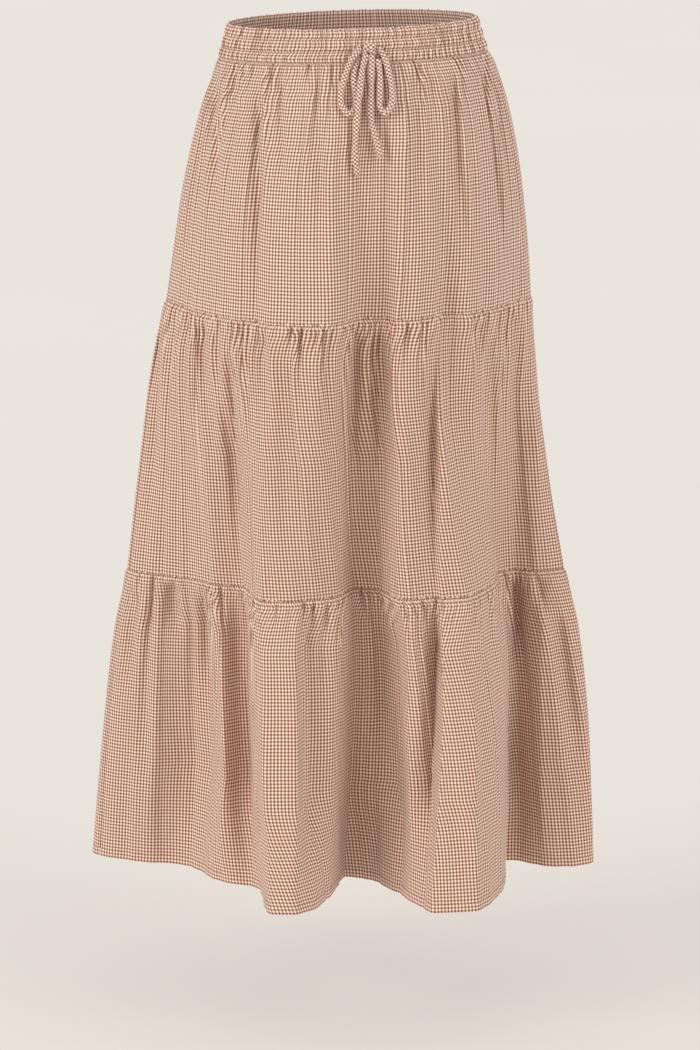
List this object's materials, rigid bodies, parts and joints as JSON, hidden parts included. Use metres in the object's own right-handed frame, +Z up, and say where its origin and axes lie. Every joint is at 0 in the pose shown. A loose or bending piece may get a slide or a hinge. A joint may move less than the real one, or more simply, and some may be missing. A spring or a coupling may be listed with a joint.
{
  "type": "tiered ruffle skirt",
  "caption": "Long tiered skirt in light checked cotton, each tier gathered on to the one above, with an elastic waist and a tie cord bow.",
  "frame": {"origin": "centre of the waistband's ring at half its height, where the waist holds the skirt", "axes": "+Z up, out of the waist; the front, with the bow, faces -Y; +X is to the right of someone who looks at the front"},
  "size_m": [0.5474, 0.4357, 0.921],
  "materials": {
    "waistband_front": "matte",
    "waistband_back": "matte",
    "tier1_front": "matte",
    "tier1_back": "matte",
    "tier2_front": "matte",
    "tier2_back": "matte",
    "tier3_front": "matte",
    "tier3_back": "matte",
    "drawstring_knot": "matte",
    "drawstring_loop_left": "matte",
    "drawstring_loop_right": "matte",
    "drawstring_tail_left": "matte",
    "drawstring_tail_right": "matte"
  },
  "bodies": {
    "root": {"waistband_front": "waistband_front", "waistband_back": "waistband_back", "tier1_front": "tier1_front", "tier1_back": "tier1_back", "tier2_front": "tier2_front", "tier2_back": "tier2_back", "tier3_front": "tier3_front", "tier3_back": "tier3_back", "drawstring_knot": "drawstring_knot", "drawstring_loop_left": "drawstring_loop_left", "drawstring_loop_right": "drawstring_loop_right", "drawstring_tail_left": "drawstring_tail_left", "drawstring_tail_right": "drawstring_tail_right"}
  },
  "joints": []
}
